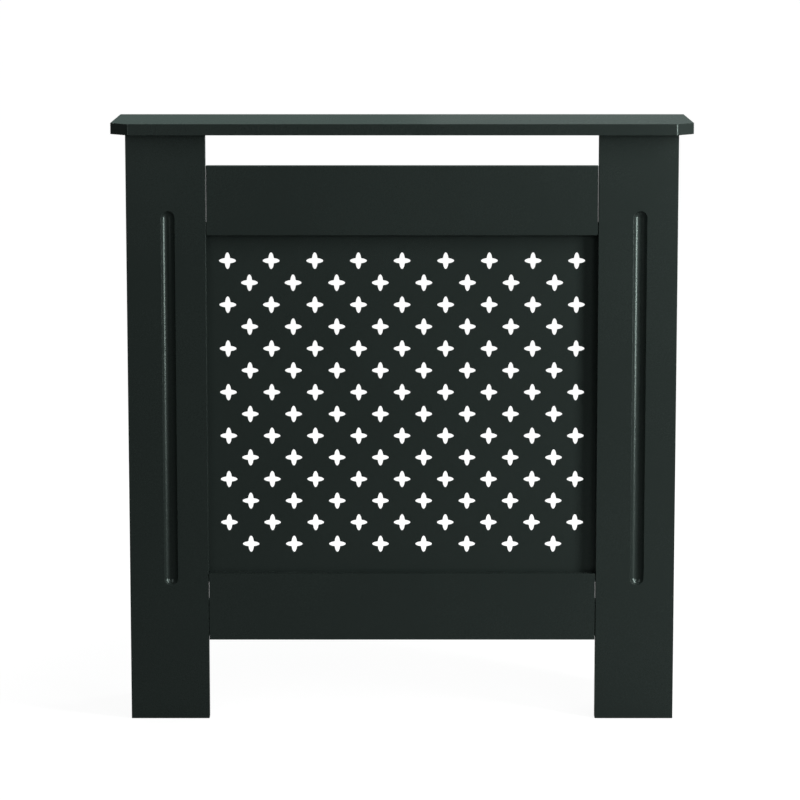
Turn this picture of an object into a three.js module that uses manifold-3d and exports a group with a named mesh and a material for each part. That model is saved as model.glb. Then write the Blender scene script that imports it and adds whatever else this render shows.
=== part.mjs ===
// Radiator cover cabinet: a flat-pack case of painted board with a pierced front grille.
// Millimetres, +Z up, front towards -Y, origin on the floor at the middle of the plan.

import * as THREE from 'three';
import { mergeVertices } from 'three/addons/utils/BufferGeometryUtils.js';
import Module from 'manifold-3d';

const wasm = await Module();
wasm.setup();

// ---- Driving dimensions ---------------------------------------------------------------------

// Whole cabinet
const HEIGHT = 815;
const TOP_WIDTH = 780;
const TOP_DEPTH = 190;
const BOARD = 15; // thickness of every structural board
const ARRIS = 1; // eased edge on the boards

// Top shelf: stands proud of the case at the front and the sides, flush at the wall
const TOP_OVERHANG = 20;
const TOP_CORNER_CUT = 24; // 45 degree clip on both front corners

// Front frame
const STILE_WIDTH = 106.5;
const RAIL_JOINT_GAP = 1; // open joint between a rail's end and the stile beside it
const TOP_RAIL_BOTTOM = 664.5;
const TOP_RAIL_TOP = 757.5;
const BOTTOM_RAIL_BOTTOM = 110;
const BOTTOM_RAIL_TOP = 201.75;

// Flute down each stile, run with a ball-nosed cutter. Left and right stiles are the same board,
// so both flutes sit the same way off its middle
const FLUTE_CUTTER_RADIUS = 10;
const FLUTE_DEPTH = 6;
const FLUTE_OFFSET = 2.7;
const FLUTE_BOTTOM = 186;
const FLUTE_TOP = 697;

// Pierced grille sheet behind the frame
const GRILLE_THICKNESS = 4;
const GRILLE_BOTTOM = 187.5;
const GRILLE_TOP = 680.5;
const GRILLE_SIDE_LAP = 20; // how far the sheet runs behind each stile

// Cross-shaped piercings: two ellipses laid over each other at right angles,
// in rows that are long and short by turns and half a pitch apart
const CROSS_LENGTH = 23;
const CROSS_LOBE_WIDTH = 7.8;
const CROSS_PITCH = 58.8;
const CROSS_ROW_STEP = 29.875;
const CROSS_ROWS = 14;
const CROSSES_IN_LONG_ROW = 9;
const CROSS_TOP_ROW_HEIGHT = 628.4;
const CROSS_STEPS_PER_LOBE = 4;

// Side panels: a notch at the wall clears the skirting board
const NOTCH_DEPTH = 18;
const NOTCH_HEIGHT = 120;
const NOTCH_RADIUS = 6;

// Timber behind the frame: battens tie the rails to each other, blocks tie the bottom rail
// to the stiles
const BATTEN_WIDTH = 12;
const BATTEN_DEPTH = 16;
const BATTEN_BOTTOM = 164;
const BATTEN_TOP = 744;
const BATTEN_SETBACK = 1.5; // from the stile's inner edge
const BATTEN_SHOULDER_GAP = 0.5; // above and below the grille sheet
const BLOCK_WIDTH = 60;
const BLOCK_DEPTH = 15;
const BLOCK_BOTTOM = 112;
const BLOCK_TOP = 162;

// Cam locks in the side panels, and the bolts that they draw
const CAM_RADIUS = 7.4;
const CAM_HEIGHT = 12;
const CAM_INSET = 34; // from the board's edge to the cam's centre
const CAM_BORE_RADIUS = 7.75;
const CAM_BORE_DEPTH = 12.5;
const CAM_POCKET_PAST_CENTRE = 1;
const CAM_SLOT_WIDTH = 1.6; // screwdriver slot across the cam's face
const CAM_SLOT_DEPTH = 1.5;
const BOLT_THREAD_RADIUS = 2.75;
const BOLT_THREAD_LENGTH = 10.5;
const BOLT_NECK_RADIUS = 1.8;
const BOLT_HEAD_RADIUS = 3.4;
const BOLT_HEAD_LENGTH = 3;
const BOLT_LENGTH = 32; // from the joint face to the end of the head
const BOLT_BORE_RADIUS = 4;
const BOLT_PILOT_RADIUS = 3.05;
const STILE_CAM_HEIGHTS = { lower: 150, upper: 650 };
const TOP_CAM_PLACES = { front: -25, rear: 60 };

// Dowels
const DOWEL_RADIUS = 3.85;
const DOWEL_CHAMFER = 1;
const DOWEL_SHORT_END = 9.5;
const DOWEL_LONG_END = 20;
const DOWEL_BORE_RADIUS = 4.15;
const STILE_DOWEL_HEIGHTS = { lower: 300, upper: 500 };
const TOP_DOWEL_PLACE = 18;

// Screws
const SCREW_RADIUS = 1.6;
const SCREW_TIP_LENGTH = 2.5;
const SCREW_HEAD_RADIUS = 3.6;
const SCREW_HEAD_HEIGHT = 2.2;
const SCREW_CROWN_RADIUS = 2.4;
const SCREW_BORE_RADIUS = 2;
const GRILLE_SCREW_LENGTH = 13;
const TIMBER_SCREW_LENGTH = 25;
const BRACKET_SCREW_LENGTH = 12;
const GRILLE_SCREW_HEIGHTS = { lower: 232, middle: 434, upper: 636 };
const GRILLE_SCREW_OFFSETS = { left: -130, right: 130 };
const BATTEN_SCREW_HEIGHTS = { lower: 176, upper: 722 };
const BLOCK_SCREW_OFFSETS = { rail: -15, stile: 15 };

// Angle brackets that hold the case to the wall
const BRACKET_LEG = 40;
const BRACKET_STEEL = 2;
const BRACKET_WIDTH = 16;
const BRACKET_HEIGHT = 700;
const BRACKET_SCREW_PLACES = { front: 65, rear: 81 };
const BRACKET_SLOT_LENGTH = 12;
const BRACKET_SLOT_RADIUS = 2.75;
const BRACKET_SLOT_INSET = 22; // from the side panel to the slot's centre

// Facets
const CAM_FACETS = 12;
const DOWEL_FACETS = 6;
const BOLT_FACETS = 6;
const SCREW_FACETS = 6;
const FLUTE_FACETS = 20;
const FLUTE_END_STEPS = 5;
const CORNER_STEPS = 4;
const SLOT_END_STEPS = 6;

const BORE_CLEARANCE = 0.5; // left empty past the end of whatever a bore holds
const BREAKOUT = 1; // how far a cutter runs out past the face where it enters

// ---- Places that follow from them -----------------------------------------------------------

const SHELF_BASE = HEIGHT - BOARD;
const WALL_Y = TOP_DEPTH / 2;
const FRAME_FRONT_Y = -TOP_DEPTH / 2 + TOP_OVERHANG;
const FRAME_BACK_Y = FRAME_FRONT_Y + BOARD;
const GRILLE_BACK_Y = FRAME_BACK_Y + GRILLE_THICKNESS;
const BATTEN_BACK_Y = FRAME_BACK_Y + BATTEN_DEPTH;
const BLOCK_BACK_Y = FRAME_BACK_Y + BLOCK_DEPTH;
const CASE_HALF = TOP_WIDTH / 2 - TOP_OVERHANG;
const SIDE_INNER = CASE_HALF - BOARD;
const SIDE_CENTRE = CASE_HALF - BOARD / 2;
const STILE_INNER = CASE_HALF - STILE_WIDTH;
const STILE_CENTRE = CASE_HALF - STILE_WIDTH / 2;
const RAIL_LENGTH = 2 * (STILE_INNER - RAIL_JOINT_GAP);
const GRILLE_WIDTH = 2 * (STILE_INNER + GRILLE_SIDE_LAP);
const GRILLE_SCREW_X = STILE_INNER + GRILLE_SIDE_LAP / 2;
const GRILLE_RAIL_SCREW_HEIGHTS = {
  top: (TOP_RAIL_BOTTOM + GRILLE_TOP) / 2,
  bottom: (BOTTOM_RAIL_TOP + GRILLE_BOTTOM) / 2,
};
const BATTEN_CENTRE = STILE_INNER - BATTEN_SETBACK - BATTEN_WIDTH / 2;
const SIDES = { left: -1, right: 1 };

// ---- Finishes -------------------------------------------------------------------------------

const FINISHES = {
  paint: { color: 0x2a3330, roughness: 0.5, metalness: 0 },
  beech: { color: 0xc9a06c, roughness: 0.7, metalness: 0 },
  zinc: { color: 0xa9acad, roughness: 0.45, metalness: 1 },
  black_steel: { color: 0x1c1d1f, roughness: 0.4, metalness: 0.8 },
};

// ---- Making and cutting solids --------------------------------------------------------------

const vector = (x, y, z) => new THREE.Vector3(x, y, z);
const FORWARD = vector(0, -1, 0);
const BACKWARD = vector(0, 1, 0);
const DOWNWARD = vector(0, 0, -1);

// The point that lies `distance` from `point` along `direction`
const beyond = (point, direction, distance) => point.clone().addScaledVector(direction, distance);

// A closed geometry as a solid that can be cut
function solid(geometry) {
  const bare = geometry.clone();
  bare.deleteAttribute('normal');
  bare.deleteAttribute('uv');
  const merged = mergeVertices(bare, 1e-4);
  const corners = merged.index.array;
  const triangles = [];
  for (let i = 0; i < corners.length; i += 3) {
    const [a, b, c] = corners.slice(i, i + 3);
    if (a !== b && b !== c && c !== a) {
      triangles.push(a, b, c);
    }
  }
  return new wasm.Manifold(new wasm.Mesh({
    numProp: 3,
    vertProperties: new Float32Array(merged.attributes.position.array),
    triVerts: new Uint32Array(triangles),
  }));
}

// What is left of a geometry once the cutters have been through it
function cut(geometry, cutters) {
  const shape = cutters.reduce((left, cutter) => left.subtract(solid(cutter)), solid(geometry));
  const mesh = shape.getMesh();
  const result = new THREE.BufferGeometry();
  const positions = new Float32Array(mesh.vertProperties);
  result.setAttribute('position', new THREE.BufferAttribute(positions, 3));
  result.setIndex(new THREE.BufferAttribute(new Uint32Array(mesh.triVerts), 1));
  result.computeVertexNormals();
  return result;
}

// Turns a geometry so that its own +Y runs along `direction`, and starts it at `start`
function along(geometry, start, direction) {
  const turn = new THREE.Quaternion().setFromUnitVectors(vector(0, 1, 0), direction);
  return geometry.applyQuaternion(turn).translate(start.x, start.y, start.z);
}

function rod(start, direction, length, radius, facets) {
  const cylinder = new THREE.CylinderGeometry(radius, radius, length, facets);
  return along(cylinder.translate(0, length / 2, 0), start, direction);
}

// A blind hole drilled from `mouth` along `direction`
function bore(mouth, direction, depth, radius, facets) {
  const start = beyond(mouth, direction, -BREAKOUT);
  return rod(start, direction, depth + BREAKOUT, radius, facets);
}

// A round-ended slot along X, cut forwards from `mouth`
function slotCutter(mouth, length, radius, depth) {
  const reach = length / 2 - radius;
  const outline = new THREE.Shape();
  outline.absarc(reach, 0, radius, -Math.PI / 2, Math.PI / 2);
  outline.absarc(-reach, 0, radius, Math.PI / 2, 1.5 * Math.PI);
  const geometry = new THREE.ExtrudeGeometry(outline, {
    depth: depth + BREAKOUT,
    curveSegments: SLOT_END_STEPS,
    bevelEnabled: false,
  });
  return facingFront(geometry, mouth.y + BREAKOUT).translate(mouth.x, 0, mouth.z);
}

function turned(profile, facets) {
  const points = profile.map(([radius, height]) => new THREE.Vector2(radius, height));
  return new THREE.LatheGeometry(points, facets);
}

function box(low, high) {
  const size = high.clone().sub(low);
  const centre = low.clone().add(high).divideScalar(2);
  const block = new THREE.BoxGeometry(size.x, size.y, size.z);
  return block.translate(centre.x, centre.y, centre.z);
}

// An outline given a board's thickness along +Z, with both rims eased
function board(outline) {
  const geometry = new THREE.ExtrudeGeometry(outline, {
    depth: BOARD - 2 * ARRIS,
    bevelThickness: ARRIS,
    bevelSize: ARRIS,
    bevelOffset: -ARRIS,
    bevelSegments: 1,
  });
  return geometry.translate(0, 0, ARRIS);
}

// An outline drawn in X and Z: the thickness then runs from `backY` towards the front
function facingFront(geometry, backY) {
  return geometry.rotateX(Math.PI / 2).translate(0, backY, 0);
}

// An outline drawn in Y and Z: the thickness then runs from `lowX` towards +X
function facingSide(geometry, lowX) {
  return geometry.rotateX(Math.PI / 2).rotateZ(Math.PI / 2).translate(lowX, 0, 0);
}

function rectangle(left, bottom, right, top) {
  return new THREE.Shape([
    new THREE.Vector2(left, bottom),
    new THREE.Vector2(right, bottom),
    new THREE.Vector2(right, top),
    new THREE.Vector2(left, top),
  ]);
}

// A named piece, kept about its own origin `at` and placed there
function piece(name, finish, geometry, at) {
  const mesh = new THREE.Mesh(
    geometry.translate(-at.x, -at.y, -at.z),
    new THREE.MeshStandardMaterial(FINISHES[finish]),
  );
  mesh.name = name;
  mesh.position.copy(at);
  return mesh;
}

// ---- Joints between the boards --------------------------------------------------------------

// Each joint starts on the face where two boards meet and runs `inward` into the side panel
function stileJoints(side, heights) {
  return Object.entries(heights).map(([place, z]) => ({
    place,
    face: vector(SIDES[side] * SIDE_CENTRE, FRAME_BACK_Y, z),
    inward: BACKWARD,
  }));
}

function topJoints(side, places) {
  return Object.entries(places).map(([place, y]) => ({
    place,
    face: vector(SIDES[side] * SIDE_CENTRE, y, SHELF_BASE),
    inward: DOWNWARD,
  }));
}

const camJoints = (side) => ({
  stile: stileJoints(side, STILE_CAM_HEIGHTS),
  top: topJoints(side, TOP_CAM_PLACES),
});

const dowelJoints = (side) => ({
  stile: stileJoints(side, STILE_DOWEL_HEIGHTS),
  top: topJoints(side, { middle: TOP_DOWEL_PLACE }),
});

// Holes in the board that the bolts and dowels stand in
function boltPilot({ face, inward }) {
  const depth = BOLT_THREAD_LENGTH + BORE_CLEARANCE;
  return bore(face, inward.clone().negate(), depth, BOLT_PILOT_RADIUS, BOLT_FACETS);
}

function dowelSocket({ face, inward }) {
  const depth = DOWEL_SHORT_END + BORE_CLEARANCE;
  return bore(face, inward.clone().negate(), depth, DOWEL_BORE_RADIUS, DOWEL_FACETS);
}

// Holes in the side panel for a bolt and its cam
function camBores(side, { face, inward }) {
  const centre = beyond(face, inward, CAM_INSET);
  const mouth = vector(SIDES[side] * SIDE_INNER, centre.y, centre.z);
  return [
    bore(face, inward, CAM_INSET, BOLT_BORE_RADIUS, BOLT_FACETS),
    bore(mouth, vector(SIDES[side], 0, 0), CAM_BORE_DEPTH, CAM_BORE_RADIUS, CAM_FACETS),
  ];
}

function dowelBore({ face, inward }) {
  return bore(face, inward, DOWEL_LONG_END + BORE_CLEARANCE, DOWEL_BORE_RADIUS, DOWEL_FACETS);
}

// A pilot hole for a screw whose head bears at `seat`
function screwBore(seat, direction, length) {
  return bore(seat, direction, length + BORE_CLEARANCE, SCREW_BORE_RADIUS, SCREW_FACETS);
}

// ---- Where the screws go --------------------------------------------------------------------

const mapEntries = (table, make) => Object.entries(table).map(([place, value]) => make(place, value));

function grilleStileScrews(side) {
  return mapEntries(GRILLE_SCREW_HEIGHTS, (place, z) => ({
    name: `grille_screw_${side}_${place}`,
    seat: vector(SIDES[side] * GRILLE_SCREW_X, GRILLE_BACK_Y, z),
    direction: FORWARD,
    length: GRILLE_SCREW_LENGTH,
  }));
}

function grilleRailScrews(rail) {
  return mapEntries(GRILLE_SCREW_OFFSETS, (place, x) => ({
    name: `grille_screw_${rail}_${place}`,
    seat: vector(x, GRILLE_BACK_Y, GRILLE_RAIL_SCREW_HEIGHTS[rail]),
    direction: FORWARD,
    length: GRILLE_SCREW_LENGTH,
  }));
}

function battenScrews(side) {
  return mapEntries(BATTEN_SCREW_HEIGHTS, (place, z) => ({
    name: `batten_screw_${side}_${place}`,
    seat: vector(SIDES[side] * BATTEN_CENTRE, BATTEN_BACK_Y, z),
    direction: FORWARD,
    length: TIMBER_SCREW_LENGTH,
  }));
}

function blockScrews(side) {
  return mapEntries(BLOCK_SCREW_OFFSETS, (place, offset) => ({
    name: `block_screw_${side}_${place}`,
    seat: vector(
      SIDES[side] * (STILE_INNER + offset),
      BLOCK_BACK_Y,
      (BLOCK_BOTTOM + BLOCK_TOP) / 2,
    ),
    direction: FORWARD,
    length: TIMBER_SCREW_LENGTH,
  }));
}

function bracketScrews(side) {
  return mapEntries(BRACKET_SCREW_PLACES, (place, y) => ({
    name: `bracket_screw_${side}_${place}`,
    seat: vector(SIDES[side] * (SIDE_INNER - BRACKET_STEEL), y, BRACKET_HEIGHT),
    direction: vector(SIDES[side], 0, 0),
    length: BRACKET_SCREW_LENGTH,
  }));
}

const boreFor = ({ seat, direction, length }) => screwBore(seat, direction, length);

// ---- Boards ---------------------------------------------------------------------------------

function topShelf() {
  const half = TOP_WIDTH / 2;
  const clipped = half - TOP_CORNER_CUT;
  const outline = new THREE.Shape([
    new THREE.Vector2(-clipped, -WALL_Y),
    new THREE.Vector2(clipped, -WALL_Y),
    new THREE.Vector2(half, -WALL_Y + TOP_CORNER_CUT),
    new THREE.Vector2(half, WALL_Y),
    new THREE.Vector2(-half, WALL_Y),
    new THREE.Vector2(-half, -WALL_Y + TOP_CORNER_CUT),
  ]);
  const sides = Object.keys(SIDES);
  const holes = [
    ...sides.flatMap((side) => camJoints(side).top.map(boltPilot)),
    ...sides.flatMap((side) => dowelJoints(side).top.map(dowelSocket)),
  ];
  const slab = board(outline).translate(0, 0, SHELF_BASE);
  return piece('top_shelf', 'paint', cut(slab, holes), vector(0, 0, SHELF_BASE));
}

// The path of the ball-nosed cutter: a capsule whose axis lies in front of the stile's face
function flute(centreX) {
  const axisY = FRAME_FRONT_Y - (FLUTE_CUTTER_RADIUS - FLUTE_DEPTH);
  const halfWidth = Math.sqrt(FLUTE_CUTTER_RADIUS ** 2 - (FRAME_FRONT_Y - axisY) ** 2);
  const run = FLUTE_TOP - FLUTE_BOTTOM - 2 * halfWidth;
  const capsule = new THREE.CapsuleGeometry(FLUTE_CUTTER_RADIUS, run, FLUTE_END_STEPS, FLUTE_FACETS);
  return capsule.rotateX(Math.PI / 2).translate(centreX, axisY, (FLUTE_TOP + FLUTE_BOTTOM) / 2);
}

function stile(side) {
  const centre = SIDES[side] * STILE_CENTRE;
  const outline = rectangle(-STILE_WIDTH / 2, 0, STILE_WIDTH / 2, SHELF_BASE);
  const [railScrew, stileScrew] = blockScrews(side);
  const holes = [
    flute(centre + FLUTE_OFFSET),
    ...camJoints(side).stile.map(boltPilot),
    ...dowelJoints(side).stile.map(dowelSocket),
    ...grilleStileScrews(side).map(boreFor),
    boreFor(stileScrew),
  ];
  const slab = facingFront(board(outline), FRAME_BACK_Y).translate(centre, 0, 0);
  return piece(`${side}_stile`, 'paint', cut(slab, holes), vector(centre, FRAME_BACK_Y, 0));
}

function sidePanel(side) {
  const notchY = WALL_Y - NOTCH_DEPTH;
  const outline = new THREE.Shape();
  outline.moveTo(FRAME_BACK_Y, 0);
  outline.lineTo(notchY, 0);
  outline.lineTo(notchY, NOTCH_HEIGHT - NOTCH_RADIUS);
  for (let step = 1; step <= CORNER_STEPS; step += 1) {
    const angle = Math.PI - (step / CORNER_STEPS) * (Math.PI / 2);
    outline.lineTo(
      notchY + NOTCH_RADIUS * (1 + Math.cos(angle)),
      NOTCH_HEIGHT - NOTCH_RADIUS * (1 - Math.sin(angle)),
    );
  }
  outline.lineTo(WALL_Y, NOTCH_HEIGHT);
  outline.lineTo(WALL_Y, SHELF_BASE);
  outline.lineTo(FRAME_BACK_Y, SHELF_BASE);
  const cams = camJoints(side);
  const dowels = dowelJoints(side);
  const holes = [
    ...[...cams.stile, ...cams.top].flatMap((joint) => camBores(side, joint)),
    ...[...dowels.stile, ...dowels.top].map(dowelBore),
    ...bracketScrews(side).map(boreFor),
  ];
  const lowX = Math.min(SIDES[side] * SIDE_INNER, SIDES[side] * CASE_HALF);
  const slab = facingSide(board(outline), lowX);
  const at = vector(SIDES[side] * SIDE_CENTRE, 0, 0);
  return piece(`${side}_side_panel`, 'paint', cut(slab, holes), at);
}

function rail(name, bottom, top, screws) {
  const outline = rectangle(-RAIL_LENGTH / 2, bottom, RAIL_LENGTH / 2, top);
  const slab = facingFront(board(outline), FRAME_BACK_Y);
  return piece(name, 'paint', cut(slab, screws.map(boreFor)), vector(0, FRAME_BACK_Y, bottom));
}

// ---- Pierced grille -------------------------------------------------------------------------

// One piercing: four lobes, each an arc of an ellipse between two inner corners
function crossOutline(centreX, centreZ) {
  const reach = CROSS_LENGTH / 2;
  const halfWidth = CROSS_LOBE_WIDTH / 2;
  const corner = Math.atan2(reach, halfWidth); // where the two ellipses meet, as an ellipse angle
  const points = [];
  for (let lobe = 0; lobe < 4; lobe += 1) {
    for (let step = 0; step < CROSS_STEPS_PER_LOBE; step += 1) {
      const angle = -corner + (2 * corner * step) / CROSS_STEPS_PER_LOBE;
      const point = new THREE.Vector2(reach * Math.cos(angle), halfWidth * Math.sin(angle));
      point.rotateAround(new THREE.Vector2(), (lobe * Math.PI) / 2);
      points.push(point.add(new THREE.Vector2(centreX, centreZ)));
    }
  }
  return new THREE.Path(points);
}

function grillePanel() {
  const half = GRILLE_WIDTH / 2;
  const outline = rectangle(-half, GRILLE_BOTTOM, half, GRILLE_TOP);
  for (let row = 0; row < CROSS_ROWS; row += 1) {
    const count = CROSSES_IN_LONG_ROW - (row % 2);
    const height = CROSS_TOP_ROW_HEIGHT - row * CROSS_ROW_STEP;
    for (let i = 0; i < count; i += 1) {
      outline.holes.push(crossOutline((i - (count - 1) / 2) * CROSS_PITCH, height));
    }
  }
  const sheet = new THREE.ExtrudeGeometry(outline, { depth: GRILLE_THICKNESS, bevelEnabled: false });
  const holes = allGrilleScrews().map(boreFor);
  const pierced = cut(facingFront(sheet, GRILLE_BACK_Y), holes);
  return piece('grille_panel', 'paint', pierced, vector(0, GRILLE_BACK_Y, GRILLE_BOTTOM));
}

function allGrilleScrews() {
  return [
    ...grilleStileScrews('left'),
    ...grilleStileScrews('right'),
    ...grilleRailScrews('top'),
    ...grilleRailScrews('bottom'),
  ];
}

// ---- Timber behind the frame ----------------------------------------------------------------

// A batten bears on both rails and is rebated over the grille sheet between them
function grilleBatten(side) {
  const centre = SIDES[side] * BATTEN_CENTRE;
  const half = BATTEN_WIDTH / 2;
  const timber = box(
    vector(centre - half, FRAME_BACK_Y, BATTEN_BOTTOM),
    vector(centre + half, BATTEN_BACK_Y, BATTEN_TOP),
  );
  const rebate = box(
    vector(centre - half - BREAKOUT, FRAME_BACK_Y - BREAKOUT, GRILLE_BOTTOM - BATTEN_SHOULDER_GAP),
    vector(centre + half + BREAKOUT, GRILLE_BACK_Y, GRILLE_TOP + BATTEN_SHOULDER_GAP),
  );
  const cutters = [rebate, ...battenScrews(side).map(boreFor)];
  const at = vector(centre, FRAME_BACK_Y, BATTEN_BOTTOM);
  return piece(`${side}_grille_batten`, 'paint', cut(timber, cutters), at);
}

function cornerBlock(side) {
  const centre = SIDES[side] * STILE_INNER;
  const timber = box(
    vector(centre - BLOCK_WIDTH / 2, FRAME_BACK_Y, BLOCK_BOTTOM),
    vector(centre + BLOCK_WIDTH / 2, BLOCK_BACK_Y, BLOCK_TOP),
  );
  const cutters = blockScrews(side).map(boreFor);
  const at = vector(centre, FRAME_BACK_Y, BLOCK_BOTTOM);
  return piece(`${side}_corner_block`, 'paint', cut(timber, cutters), at);
}

// ---- Fittings -------------------------------------------------------------------------------

function camLock(name, side, { face, inward }) {
  const centre = beyond(face, inward, CAM_INSET);
  const outward = vector(SIDES[side], 0, 0);
  const faceX = SIDES[side] * (SIDE_INNER + CAM_BORE_DEPTH - CAM_HEIGHT);
  const visible = vector(faceX, centre.y, centre.z);
  const body = rod(visible, outward, CAM_HEIGHT, CAM_RADIUS, CAM_FACETS);
  const pocketStart = beyond(centre, inward, -CAM_RADIUS);
  const pocketLength = CAM_RADIUS + CAM_POCKET_PAST_CENTRE;
  const pocket = bore(pocketStart, inward, pocketLength, BOLT_BORE_RADIUS, BOLT_FACETS);
  const slotEdge = vector(CAM_SLOT_DEPTH, CAM_RADIUS + BREAKOUT, CAM_SLOT_WIDTH / 2);
  const slot = box(visible.clone().sub(slotEdge), visible.clone().add(slotEdge));
  return piece(name, 'zinc', cut(body, [pocket, slot]), centre);
}

function camBolt(name, { face, inward }) {
  const headStart = BOLT_LENGTH - BOLT_HEAD_LENGTH;
  const profile = [
    [0, -BOLT_THREAD_LENGTH],
    [BOLT_THREAD_RADIUS, -BOLT_THREAD_LENGTH],
    [BOLT_THREAD_RADIUS, 0],
    [BOLT_NECK_RADIUS, 0],
    [BOLT_NECK_RADIUS, headStart],
    [BOLT_HEAD_RADIUS, headStart],
    [BOLT_HEAD_RADIUS, BOLT_LENGTH],
    [0, BOLT_LENGTH],
  ];
  return piece(name, 'zinc', along(turned(profile, BOLT_FACETS), face, inward), face);
}

function dowel(name, { face, inward }) {
  const profile = [
    [0, -DOWEL_SHORT_END],
    [DOWEL_RADIUS - DOWEL_CHAMFER, -DOWEL_SHORT_END],
    [DOWEL_RADIUS, -DOWEL_SHORT_END + DOWEL_CHAMFER],
    [DOWEL_RADIUS, DOWEL_LONG_END - DOWEL_CHAMFER],
    [DOWEL_RADIUS - DOWEL_CHAMFER, DOWEL_LONG_END],
    [0, DOWEL_LONG_END],
  ];
  return piece(name, 'beech', along(turned(profile, DOWEL_FACETS), face, inward), face);
}

// The head bears at `seat` and the shank runs on along `direction`
function screw(finish, { name, seat, direction, length }) {
  const profile = [
    [0, -SCREW_HEAD_HEIGHT],
    [SCREW_CROWN_RADIUS, -SCREW_HEAD_HEIGHT],
    [SCREW_HEAD_RADIUS, 0],
    [SCREW_RADIUS, 0],
    [SCREW_RADIUS, length - SCREW_TIP_LENGTH],
    [0, length],
  ];
  return piece(name, finish, along(turned(profile, SCREW_FACETS), seat, direction), seat);
}

// One leg lies on the side panel, the other flat on the wall with a slot for its screw
function wallBracket(side) {
  const sign = SIDES[side];
  const corner = vector(sign * SIDE_INNER, WALL_Y, BRACKET_HEIGHT);
  const legs = new THREE.Shape([
    new THREE.Vector2(0, 0),
    new THREE.Vector2(0, BRACKET_LEG),
    new THREE.Vector2(BRACKET_STEEL, BRACKET_LEG),
    new THREE.Vector2(BRACKET_STEEL, BRACKET_STEEL),
    new THREE.Vector2(BRACKET_LEG, BRACKET_STEEL),
    new THREE.Vector2(BRACKET_LEG, 0),
  ]);
  const angle = new THREE.ExtrudeGeometry(legs, { depth: BRACKET_WIDTH, bevelEnabled: false });
  angle.translate(0, 0, -BRACKET_WIDTH / 2);
  // Drawn in one corner and turned into the corner between this side panel and the wall
  angle.rotateZ(side === 'left' ? -Math.PI / 2 : Math.PI);
  angle.translate(corner.x, corner.y, corner.z);
  const mouth = vector(sign * (SIDE_INNER - BRACKET_SLOT_INSET), WALL_Y, BRACKET_HEIGHT);
  const throughWall = BRACKET_STEEL + BREAKOUT;
  const cutters = [
    slotCutter(mouth, BRACKET_SLOT_LENGTH, BRACKET_SLOT_RADIUS, throughWall),
    ...bracketScrews(side).map(boreFor),
  ];
  return piece(`${side}_wall_bracket`, 'zinc', cut(angle, cutters), corner);
}

// ---- Assembly -------------------------------------------------------------------------------

function fittings(side) {
  const named = (joints, kind, make) => Object.entries(joints).flatMap(([boardName, list]) => (
    list.map((joint) => make(`${side}_${boardName}_${kind}_${joint.place}`, joint))
  ));
  return [
    ...named(camJoints(side), 'cam', (name, joint) => camLock(name, side, joint)),
    ...named(camJoints(side), 'bolt', camBolt),
    ...named(dowelJoints(side), 'dowel', dowel),
    ...battenScrews(side).map((place) => screw('black_steel', place)),
    ...blockScrews(side).map((place) => screw('black_steel', place)),
    ...bracketScrews(side).map((place) => screw('zinc', place)),
  ];
}

const railScrews = (rail) => Object.keys(SIDES).flatMap((side) => {
  const batten = battenScrews(side)[rail === 'bottom' ? 0 : 1];
  return rail === 'bottom' ? [batten, blockScrews(side)[0]] : [batten];
});

const cabinet = new THREE.Group();
cabinet.add(
  topShelf(),
  rail('top_rail', TOP_RAIL_BOTTOM, TOP_RAIL_TOP, [...grilleRailScrews('top'), ...railScrews('top')]),
  rail('bottom_rail', BOTTOM_RAIL_BOTTOM, BOTTOM_RAIL_TOP, [
    ...grilleRailScrews('bottom'),
    ...railScrews('bottom'),
  ]),
  grillePanel(),
  ...allGrilleScrews().map((place) => screw('black_steel', place)),
);
for (const side of Object.keys(SIDES)) {
  cabinet.add(
    stile(side),
    sidePanel(side),
    grilleBatten(side),
    cornerBlock(side),
    wallBracket(side),
    ...fittings(side),
  );
}

export default cabinet;
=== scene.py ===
"""Radiator cover cabinet: painted boards, pierced grille and fittings, in a white studio."""

import math
import random

import bmesh
import bpy
from mathutils import Matrix, Vector


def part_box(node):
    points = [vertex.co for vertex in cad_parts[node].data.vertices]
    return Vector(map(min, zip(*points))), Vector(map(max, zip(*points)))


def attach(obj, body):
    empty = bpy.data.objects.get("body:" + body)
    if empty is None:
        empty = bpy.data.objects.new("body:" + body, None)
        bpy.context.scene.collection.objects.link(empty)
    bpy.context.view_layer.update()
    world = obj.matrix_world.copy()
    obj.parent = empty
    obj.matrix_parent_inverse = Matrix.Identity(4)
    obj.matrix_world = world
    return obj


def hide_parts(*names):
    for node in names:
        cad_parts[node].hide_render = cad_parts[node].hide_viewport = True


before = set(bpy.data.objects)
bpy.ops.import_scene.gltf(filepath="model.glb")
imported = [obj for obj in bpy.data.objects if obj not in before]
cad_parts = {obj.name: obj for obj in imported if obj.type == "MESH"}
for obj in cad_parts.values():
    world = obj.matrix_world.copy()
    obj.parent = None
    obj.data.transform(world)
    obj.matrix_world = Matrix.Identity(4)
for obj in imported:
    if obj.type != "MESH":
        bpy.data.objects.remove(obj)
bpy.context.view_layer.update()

MM = 0.001
SIDES = {"left": -1, "right": 1}
X_AXIS, Y_AXIS, Z_AXIS = Vector((1, 0, 0)), Vector((0, 1, 0)), Vector((0, 0, 1))

# ---- Sizes that the frame's boxes do not give, in metres -----------------------------------------

BOARD_ARRIS = 0.4 * MM
SHELF_CORNER_ARRIS = 1.6 * MM
SHELF_CORNER_CUT = 24 * MM
ARRIS_STEPS = 3

FLUTE_CUTTER_RADIUS = 10 * MM
FLUTE_DEPTH = 6 * MM
FLUTE_OFFSET = 2.7 * MM
FLUTE_BOTTOM = 186 * MM
FLUTE_TOP = 697 * MM
FLUTE_RIM_ARRIS = 0.25 * MM
FLUTE_ARC_STEPS = 28
FLUTE_RINGS = 12

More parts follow.
